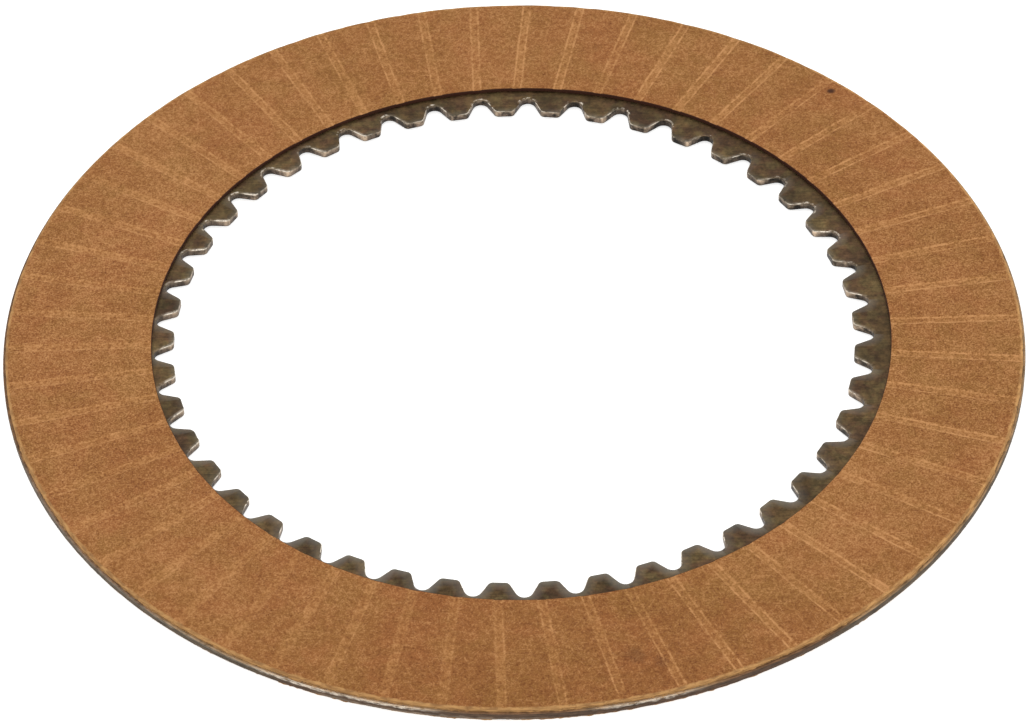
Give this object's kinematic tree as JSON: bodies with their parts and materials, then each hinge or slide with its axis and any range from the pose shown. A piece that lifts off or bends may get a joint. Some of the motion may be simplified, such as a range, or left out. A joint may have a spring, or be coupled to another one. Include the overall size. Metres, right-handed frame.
{
  "type": "friction clutch plate",
  "caption": "Thin ring-shaped friction plate with a toothed steel core and a grooved fibrous facing bonded to each side.",
  "frame": {"origin": "on the plate's axis, in the working face of the lower facing, which it lies on", "axes": "+Z is the plate's axis, out of the upper facing. +X and +Y lie in the plate; the picture looks along +Y from above"},
  "size_m": [0.168, 0.168, 0.0026],
  "materials": {
    "core_steel": "dull, oiled",
    "friction_facing": "matte, fibrous"
  },
  "bodies": {
    "root": {"core_plate": "core_steel", "upper_facing": "friction_facing", "lower_facing": "friction_facing"}
  },
  "joints": []
}
